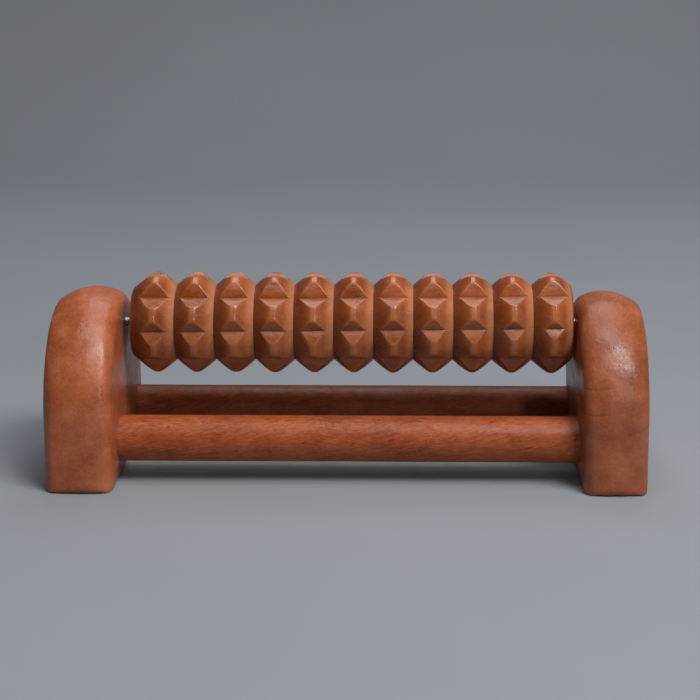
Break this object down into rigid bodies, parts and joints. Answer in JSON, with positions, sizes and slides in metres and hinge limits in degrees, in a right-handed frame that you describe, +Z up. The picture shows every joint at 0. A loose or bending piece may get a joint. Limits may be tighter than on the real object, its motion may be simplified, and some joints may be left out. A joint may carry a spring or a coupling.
{
  "type": "foot massage roller",
  "caption": "Wooden foot massage roller: a notched, beaded roller turning between two arched end plates joined by round cross bars.",
  "frame": {"origin": "middle of the footprint, on the surface it stands on", "axes": "+X along the roller and the bars, +Y to the back, +Z up"},
  "size_m": [0.2566, 0.096, 0.0863],
  "materials": {
    "plate_wood": "satin, reddish-brown stain",
    "bar_wood": "satin, reddish-brown stain",
    "roller_wood": "satin to semi-gloss, reddish-brown stain",
    "plug_wood": "satin, reddish-brown stain",
    "pin_steel": "bright drawn",
    "bush_brass": "turned",
    "screw_steel": "zinc plated"
  },
  "bodies": {
    "frame": {"left_end_plate": "plate_wood", "left_axle_pin": "pin_steel", "left_front_bar_screw": "screw_steel", "left_front_screw_plug": "plug_wood", "left_rear_bar_screw": "screw_steel", "left_rear_screw_plug": "plug_wood", "right_end_plate": "plate_wood", "right_axle_pin": "pin_steel", "right_front_bar_screw": "screw_steel", "right_front_screw_plug": "plug_wood", "right_rear_bar_screw": "screw_steel", "right_rear_screw_plug": "plug_wood", "front_cross_bar": "bar_wood", "rear_cross_bar": "bar_wood"},
    "roller": {"massage_roller": "roller_wood", "left_roller_bush": "bush_brass", "right_roller_bush": "bush_brass"}
  },
  "joints": [
    {"name": "roller_spin", "type": "hinge", "parent": "frame", "child": "roller", "pos_m": [0, 0, 0.0644], "axis": [1, 0, 0], "continuous": true}
  ]
}
